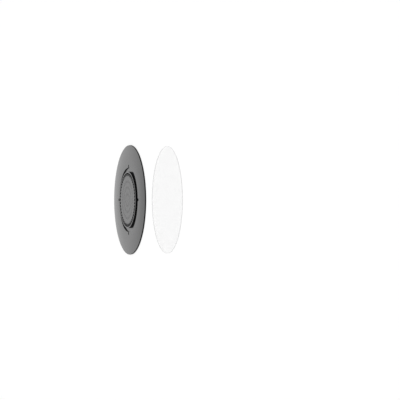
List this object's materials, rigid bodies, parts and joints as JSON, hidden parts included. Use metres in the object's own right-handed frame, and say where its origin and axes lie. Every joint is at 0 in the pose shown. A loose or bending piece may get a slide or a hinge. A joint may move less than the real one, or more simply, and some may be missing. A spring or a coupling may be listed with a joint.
{
  "type": "adhesive magnetic phone patch",
  "caption": "Thin round moulded patch with a raised toothed magnetic boss in a notched ring recess, and the clear adhesive disc that bonds it to the back of a phone.",
  "frame": {"origin": "centre of the patch on its bonding face, the face that the adhesive disc sticks to", "axes": "+Z out of the patch's front along its axis; -Y towards the adhesive disc laid beside it; the index notches lie on X and Y"},
  "size_m": [0.062, 0.1352, 0.0019],
  "materials": {
    "body_plastic": "fine satin moulding, black",
    "cap_plastic": "satin moulding with faint turned rings, black",
    "magnet_nickel": "bright nickel plating",
    "keeper_steel": "rolled, zinc plated",
    "adhesive_clear": "clear adhesive film"
  },
  "bodies": {
    "root": {"patch_body": "body_plastic", "toothed_cap": "cap_plastic", "magnet_1": "magnet_nickel", "magnet_2": "magnet_nickel", "magnet_3": "magnet_nickel", "magnet_4": "magnet_nickel", "keeper_plate": "keeper_steel", "adhesive_disc": "adhesive_clear"}
  },
  "joints": []
}
